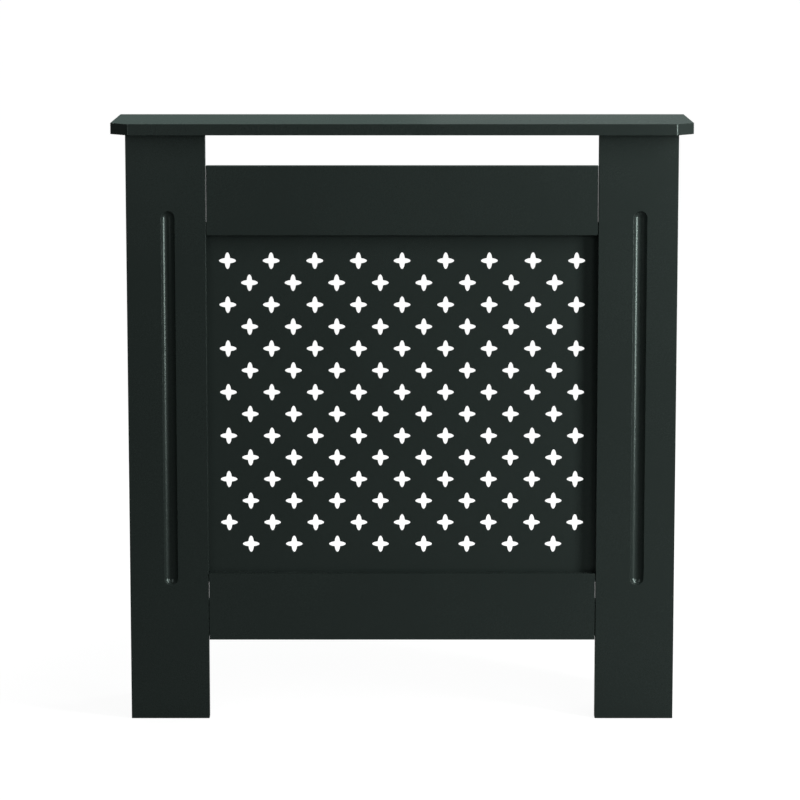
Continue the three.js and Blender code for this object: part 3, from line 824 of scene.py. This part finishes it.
def fitting_set_tree():
    """One fitting copied to every point, turned as the point's `turn` says."""
    tree = bpy.data.node_groups.new("fitting_set", "GeometryNodeTree")
    tree.interface.new_socket("Set", in_out="OUTPUT", socket_type="NodeSocketGeometry")
    identifiers = {
        "Places": add_input(tree, "Places", "Geometry"),
        "Fitting": add_input(tree, "Fitting", "Object"),
        "Finish": add_input(tree, "Finish", "Material"),
    }
    graph = Graph(tree)
    entry = graph.node("NodeGroupInput")
    given = {name: entry.output(name) for name in identifiers}
    model = graph.node("GeometryNodeObjectInfo", {}, {"Object": given["Fitting"]}, out="Geometry")
    settings = {"data_type": "FLOAT_VECTOR"}
    turn = graph.node("GeometryNodeInputNamedAttribute", settings, {"Name": "turn"})
    rotation = graph.node("FunctionNodeEulerToRotation", {}, {"Euler": turn})
    sockets = {"Points": given["Places"], "Instance": model, "Rotation": rotation}
    placed = graph.node("GeometryNodeInstanceOnPoints", {}, sockets)
    real = graph.node("GeometryNodeRealizeInstances", {}, {"Geometry": placed})
    sockets = {"Geometry": real, "Material": given["Finish"]}
    graph.node("NodeGroupOutput", {}, {"Set": graph.node("GeometryNodeSetMaterial", {}, sockets)})
    return tree, identifiers


FITTING_SET, FITTING_INPUTS = fitting_set_tree()


def make_set(name, model, material, slot, places, nodes):
    """A set of like fittings as one piece: `places` are their placement matrices."""
    mesh = bpy.data.meshes.new(name)
    mesh.from_pydata([m.translation for m in places], [], [])
    turns = mesh.attributes.new("turn", "FLOAT_VECTOR", "POINT")
    turns.data.foreach_set("vector", [a for m in places for a in m.to_euler("XYZ")])
    piece = new_object(name, mesh, None)
    copies = piece.modifiers.new("copies", "NODES")
    copies.node_group = FITTING_SET
    copies[FITTING_INPUTS["Fitting"]] = model
    copies[FITTING_INPUTS["Finish"]] = material
    bake_modifiers(piece)
    settle(piece, slot, *nodes)


def thread(radius, depth, pitch, low, high, facets):
    """The rings of a helical thread on a shank along Z."""
    rows = max(2, round((high - low) / pitch * 4))
    rings = []
    for row in range(rows + 1):
        z = low + (high - low) * row / rows
        ring = []
        for i in range(facets):
            turn = i / facets
            phase = (z / pitch - turn) % 1
            r = radius - depth * abs(2 * phase - 1)
            ring.append((r * math.cos(2 * math.pi * turn), r * math.sin(2 * math.pi * turn), z))
        rings.append(ring)
    return rings


def skin(rings, tip=None):
    """A closed shape over rings of equal count, with flat ends or a pointed last one."""
    shape = bmesh.new()
    made = [[shape.verts.new(p) for p in ring] for ring in rings]
    for low, high in zip(made, made[1:]):
        for i in range(len(low)):
            shape.faces.new((low[i - 1], low[i], high[i], high[i - 1]))
    shape.faces.new(made[0])
    last = made[-1]
    if tip is None:
        shape.faces.new(last)
        return shape
    point = shape.verts.new(tip)
    for i in range(len(last)):
        shape.faces.new((last[i - 1], last[i], point))
    return shape


def circle(radius, z, facets):
    turns = [2 * math.pi * i / facets for i in range(facets)]
    return [(radius * math.cos(t), radius * math.sin(t), z) for t in turns]


def tapered_cross(width, arm, top_z, bottom_z, shrink):
    """The recess that a cross-head driver fits: two tapered bars across each other."""
    cutters = []
    signs = ((-1, -1), (1, -1), (1, 1), (-1, 1))
    for turned in (0, math.pi / 2):
        shape = bmesh.new()
        rings = []
        for scale, z in ((1, top_z), (shrink, bottom_z)):
            x, y = arm * scale, width / 2 * (0.5 + scale / 2)
            rings.append([shape.verts.new((a * x, b * y, z)) for a, b in signs])
        for i in range(4):
            shape.faces.new((rings[0][i - 1], rings[0][i], rings[1][i], rings[1][i - 1]))
        shape.faces.new(rings[0])
        shape.faces.new(rings[1])
        shape.transform(Matrix.Rotation(turned, 4, "Z"))
        bmesh.ops.recalc_face_normals(shape, faces=shape.faces)
        cutters.append(shape)
    return cutters


def screw_model(length, material):
    """A pan-head screw: crown towards -Z, driven along +Z, bearing at the origin."""
    facets = 16
    head = [
        circle(1.5 * MM, -2.2 * MM, facets), circle(2.5 * MM, -2.05 * MM, facets),
        circle(3.1 * MM, -1.6 * MM, facets), circle(3.45 * MM, -0.9 * MM, facets),
        circle(3.5 * MM, -0.25 * MM, facets), circle(3.4 * MM, 0, facets),
        circle(1.5 * MM, 0, facets), circle(1.5 * MM, 1.2 * MM, facets),
    ]
    shank = thread(1.6 * MM, 0.4 * MM, 1.6 * MM, 1.6 * MM, length - 3 * MM, facets)
    shape = skin(head + shank, tip=(0, 0, length))
    model = from_bmesh("screw_model", shape, material)
    carve(model, tapered_cross(0.9 * MM, 1.9 * MM, -3 * MM, -0.6 * MM, 0.45))
    return model


def cam_model():
    """A cam lock: open face towards -Z, its bolt coming in along -Y from +Y."""
    facets = 40
    profile = [
        (0, 0.35 * MM), (5.9 * MM, 0.35 * MM), (6.2 * MM, 0), (7.05 * MM, 0),
        (CAM_RADIUS, 0.35 * MM),
        (CAM_RADIUS, CAM_HEIGHT - 0.4 * MM), (CAM_RADIUS - 0.4 * MM, CAM_HEIGHT), (0, CAM_HEIGHT),
    ]
    model = from_bmesh("cam_model", lathe(profile, facets), DIE_CAST)
    pocket = cylinder(Vector((0, 8.4 * MM, 7 * MM)), -Y_AXIS, 9.4 * MM, BOLT_BORE_RADIUS, 24)
    slot, _ = slab(rectangle(-9 * MM, -0.8 * MM, 9 * MM, 0.8 * MM), 2.5 * MM)
    slot.transform(Matrix.Translation((0, 0, -1 * MM)))
    cross = tapered_cross(2.4 * MM, 3.4 * MM, -1 * MM, 3.4 * MM, 0.5)
    carve(model, [pocket, slot, *cross])
    return model


def bolt_model():
    """A cam bolt: wood thread along -Z, neck and head along +Z."""
    facets = 16
    screw = thread(2.75 * MM, 0.55 * MM, 2 * MM, -10.2 * MM, -0.4 * MM, facets)
    upper = [
        circle(2.0 * MM, 0, facets), circle(1.8 * MM, 0.6 * MM, facets),
        circle(1.8 * MM, 28.6 * MM, facets), circle(2.6 * MM, 29 * MM, facets),
        circle(3.3 * MM, 29.6 * MM, facets), circle(3.4 * MM, 30.4 * MM, facets),
        circle(3.2 * MM, 31.4 * MM, facets), circle(2.4 * MM, 32 * MM, facets),
    ]
    shape = skin([circle(2 * MM, -10.5 * MM, facets), *screw, *upper])
    return from_bmesh("bolt_model", shape, PLATED)


def dowel_model():
    """A beech dowel with pressed flutes and chamfered ends."""
    facets = 48
    rings = []
    low, high = -DOWEL_SHORT_END, DOWEL_LONG_END
    for radius, z, fluting in (
        (2.9, low, 0), (3.3, low + 0.5 * MM, 0.4), (3.75, low + 1.1 * MM, 1),
        (3.75, high - 1.1 * MM, 1), (3.3, high - 0.5 * MM, 0.4), (2.9, high, 0),
    ):
        ring = []
        for i in range(facets):
            turn = 2 * math.pi * i / facets
            r = (radius + 0.1 * fluting * math.cos(16 * turn)) * MM
            ring.append((r * math.cos(turn), r * math.sin(turn), z))
        rings.append(ring)
    return from_bmesh("dowel_model", skin(rings), BEECH)


def driven(seat, direction, spin):
    """A placement whose +Z runs along the drive, turned about it by `spin`."""
    side = direction.orthogonal().normalized()
    return axes_matrix(seat, direction, side) @ Matrix.Rotation(spin, 4, "Z")


def make_screws(name, length, material, slot, start):
    spins = random.Random(len(name))
    nodes = sorted(node for node in SEATS if node.startswith(start))
    places = [driven(SEATS[n][0], SEATS[n][1], spins.uniform(0, math.pi)) for n in nodes]
    model = screw_model(length, material)
    make_set(name, model, material, slot, places, nodes)
    bpy.data.objects.remove(model)


def named_nodes(word):
    return sorted(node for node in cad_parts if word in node)


def make_flat_pack_fittings():
    cams, bolts, dowels = [], [], []
    for side in SIDES:
        outward = X_AXIS * SIDES[side]
        for face, inward in [joint for joints in cam_joints(side) for joint in joints]:
            centre = face + inward * CAM_INSET
            centre.x = SIDES[side] * (SIDE_INNER + CAM_BORE_DEPTH - CAM_HEIGHT)
            cams.append(axes_matrix(centre, outward, -inward))
            bolts.append(driven(face, inward, 0))
        for face, inward in [joint for joints in dowel_joints(side) for joint in joints]:
            dowels.append(driven(face, inward, 0))
    for name, model, material, slot, places, word in (
        ("cam_locks", cam_model(), DIE_CAST, "zinc", cams, "_cam_"),
        ("cam_bolts", bolt_model(), PLATED, "zinc", bolts, "_bolt_"),
        ("dowel_pins", dowel_model(), BEECH, "beech", dowels, "_dowel_"),
    ):
        make_set(name, model, material, slot, places, named_nodes(word))
        bpy.data.objects.remove(model)


def make_bracket(side):
    """A bent steel angle: one leg on the side panel, the other against the wall."""
    low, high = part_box(f"{side}_wall_bracket")
    steel, leg, bend = BRACKET_STEEL, high.x - low.x, BRACKET_BEND
    arc = [math.pi / 2 * i / BRACKET_BEND_STEPS for i in range(BRACKET_BEND_STEPS + 1)]
    outer = [(bend - bend * math.cos(t), bend - bend * math.sin(t)) for t in arc]
    inner_bend = bend - steel
    inner = [
        (bend - inner_bend * math.cos(t), bend - inner_bend * math.sin(t)) for t in reversed(arc)
    ]
    outline = [(0, leg), *outer, (leg, 0), (leg, steel), *inner, (steel, leg)]
    shape, _ = slab(outline, high.z - low.z)
    ends = [
        e for e in sharp_edges(shape)
        if abs(e.verts[0].co.z - e.verts[1].co.z) < 1e-6
        and max(max(v.co.x, v.co.y) for v in e.verts) > leg - 1e-6
        and abs((e.verts[0].co - e.verts[1].co).length - steel) < 1e-5
    ]
    ease(shape, ends, BRACKET_CORNER_RADIUS, BRACKET_CORNER_STEPS)
    sign = SIDES[side]
    corner = Vector((high.x if sign > 0 else low.x, high.y, low.z))
    along_wall, along_side = -sign * X_AXIS, -Y_AXIS
    turn = Matrix((along_wall, along_side, Z_AXIS)).transposed().to_4x4()
    bracket = from_bmesh(f"{side}_angle_bracket", shape, PLATED, Matrix.Translation(corner) @ turn)
    middle_z = (low.z + high.z) / 2
    slot_x = corner.x - sign * BRACKET_SLOT_INSET
    slot_ends = slot_x - BRACKET_SLOT_HALF_LENGTH, slot_x + BRACKET_SLOT_HALF_LENGTH
    slot = [
        bore(Vector((x, high.y, middle_z)), FORWARD, steel + MM, BRACKET_SLOT_RADIUS)
        for x in slot_ends
    ]
    outline = rectangle(slot_ends[0], -BRACKET_SLOT_RADIUS, slot_ends[1], BRACKET_SLOT_RADIUS)
    bar, _ = slab(outline, steel + 2 * MM)
    bar.transform(Matrix.Translation((0, 0, middle_z)) @ facing_front(high.y + MM))
    slot.append(bar)
    carve(bracket, slot + screw_bores(f"bracket_screw_{side}"))
    settle(bracket, "zinc", f"{side}_wall_bracket")


# ---- Building it ---------------------------------------------------------------------------------

make_shelf()
make_rail("top_rail", "grille_screw_top", "batten_screw_left_upper", "batten_screw_right_upper")
make_rail(
    "bottom_rail", "grille_screw_bottom", "batten_screw_left_lower", "batten_screw_right_lower",
    "block_screw_left_rail", "block_screw_right_rail",
)
make_grille()
for side_name in SIDES:
    make_stile(side_name)
    make_side_panel(side_name)
    make_batten(side_name)
    make_block(side_name)
    make_bracket(side_name)
make_flat_pack_fittings()
make_screws("grille_screw_set", GRILLE_SCREW_LENGTH, BLACK, "black_steel", "grille_screw")
make_screws(
    "timber_screw_set", TIMBER_SCREW_LENGTH, BLACK, "black_steel", ("batten_screw", "block_screw")
)
make_screws("bracket_screw_set", BRACKET_SCREW_LENGTH, PLATED, "zinc", "bracket_screw")

# ---- Studio --------------------------------------------------------------------------------------

CAMERA_PLACE = (0, -4.5064, 1.1369)
CAMERA_TILT = math.radians(90 - 8.234)
CAMERA_LENS = 149.49
CAMERA_SHIFT = (-0.0026, -0.05)

FLOOR_HALF = 40.0
FLOOR_DROP = 0.1 * MM
FLOOR_COLOUR = (0.16, 0.16, 0.16, 1)
# Painted shade: the floor's glow to the camera is dimmer close to the cabinet, round its foot
FLOOR_NEAR, FLOOR_FAR = 0.45, 1.1
FLOOR_NEAR_TONE, FLOOR_FAR_TONE = 0.915, 0.995

# What the painted surfaces mirror from the far side, against 1 for white
MIRRORED_TONE = 0.054
MIRRORED_TINT = (0.76, 1.04, 0.95, 1)


def rays(graph):
    """Rays that see the background as it is, and those that see it in a reflection."""
    path = graph.node("ShaderNodeLightPath")
    direct = path.output("Is Camera Ray") + path.output("Is Transmission Ray")
    return direct, path.output("Is Glossy Ray")


def behind(graph, place):
    """1 on the wall's side of the cabinet's middle, else 0."""
    across = graph.node("ShaderNodeSeparateXYZ", {}, {0: place}).output("Y")
    return graph.math("GREATER_THAN", across, 0.0)


def make_floor():
    """A white floor with the cabinet's real shadow, and a painted shade: less glow close to it."""
    shape = bmesh.new()
    corners = rectangle(-FLOOR_HALF, -FLOOR_HALF, FLOOR_HALF, FLOOR_HALF)
    shape.faces.new([shape.verts.new((x, y, -FLOOR_DROP)) for x, y in corners])
    material = bpy.data.materials.new("white_floor")
    material.use_nodes = True
    graph = Graph(material.node_tree)
    graph.tree.nodes.clear()
    place = graph.node("ShaderNodeTexCoord", out="Object")
    away = graph.node("ShaderNodeVectorMath", {"operation": "LENGTH"}, {0: place}, out="Value")
    direct, mirrored = rays(graph)
    # Painted shade round the cabinet's foot; the real shadow comes from the diffuse part below
    glow = graph.ramp(away, FLOOR_NEAR, FLOOR_FAR, FLOOR_NEAR_TONE, FLOOR_FAR_TONE)
    strength = direct * glow + mirrored * behind(graph, place) * MIRRORED_TONE
    white = graph.node("ShaderNodeBsdfDiffuse", {}, {"Color": FLOOR_COLOUR})
    lift = graph.node("ShaderNodeEmission", {}, {"Strength": strength})
    both = graph.node("ShaderNodeAddShader", {}, {0: white, 1: lift})
    graph.node("ShaderNodeOutputMaterial", {}, {"Surface": both})
    floor = from_bmesh("studio_floor", shape, material)


def make_world(room):
    """White to the camera; to other rays a dark room, with its own tone on each side."""
    world = bpy.data.worlds.new("studio")
    bpy.context.scene.world = world
    world.use_nodes = True
    graph = Graph(world.node_tree)
    graph.tree.nodes.clear()
    direction = graph.node("ShaderNodeTexCoord", out="Generated")
    split = graph.node("ShaderNodeSeparateXYZ", {}, {0: direction})
    tone = 0.0
    for axis, (negative, positive) in room.items():
        along = split.output(axis)
        ahead = graph.math("GREATER_THAN", along, 0.0)
        tone = tone + along * along * (negative + ahead * (positive - negative))
    direct, mirrored = rays(graph)
    strength = direct + (1 - direct) * tone + mirrored * behind(graph, direction) * MIRRORED_TONE
    tinted = behind(graph, direction) * (1 - direct)
    colour = graph.blend(tinted, (1, 1, 1, 1), MIRRORED_TINT)
    background = graph.node("ShaderNodeBackground", {}, {"Color": colour, "Strength": strength})
    graph.node("ShaderNodeOutputWorld", {}, {"Surface": background})


def make_lamp(name, place, target, width, height, power):
    lamp = bpy.data.lights.new(name, "AREA")
    lamp.shape = "RECTANGLE"
    lamp.size, lamp.size_y, lamp.energy = width, height, power
    obj = bpy.data.objects.new(name, lamp)
    bpy.context.scene.collection.objects.link(obj)
    obj.location = place
    obj.rotation_euler = (Vector(target) - Vector(place)).to_track_quat("-Z", "Y").to_euler()
    obj.visible_camera = False


def make_camera():
    data = bpy.data.cameras.new("camera")
    data.sensor_width = 36
    data.lens = CAMERA_LENS
    data.shift_x, data.shift_y = CAMERA_SHIFT
    data.clip_start, data.clip_end = 0.05, 200
    camera = bpy.data.objects.new("camera", data)
    bpy.context.scene.collection.objects.link(camera)
    camera.location = CAMERA_PLACE
    camera.rotation_euler = (CAMERA_TILT, 0, 0)
    bpy.context.scene.camera = camera


make_floor()
make_world({"X": (0.04, 0.1), "Y": (0.0, 0.16), "Z": (0.0, 0.06)})
make_lamp("right_strip", (1.49, -0.86, 1.14), (0, 0, 0.6), 0.4, 2.0, 42)
make_lamp("front_fill", (1.3, -2.4, 1.3), (0, 0, 0.5), 0.8, 0.8, 12.8)
make_lamp("left_fill", (-0.83, -1.3, 1.2), (0, 0, 0.5), 0.5, 1.2, 3.6)
make_lamp("back_left", (-1.6, 1.4, 1.3), (0, 0, 0.4), 1.0, 1.2, 18)
make_lamp("back_right", (1.6, 1.4, 1.3), (0, 0, 0.4), 1.0, 1.2, 18)
make_lamp("white_card", (0.45, 3.2, 1.3), (0, 0, 0.8), 0.8, 1.0, 0.19)
make_camera()
bpy.context.scene.view_settings.view_transform = "Standard"
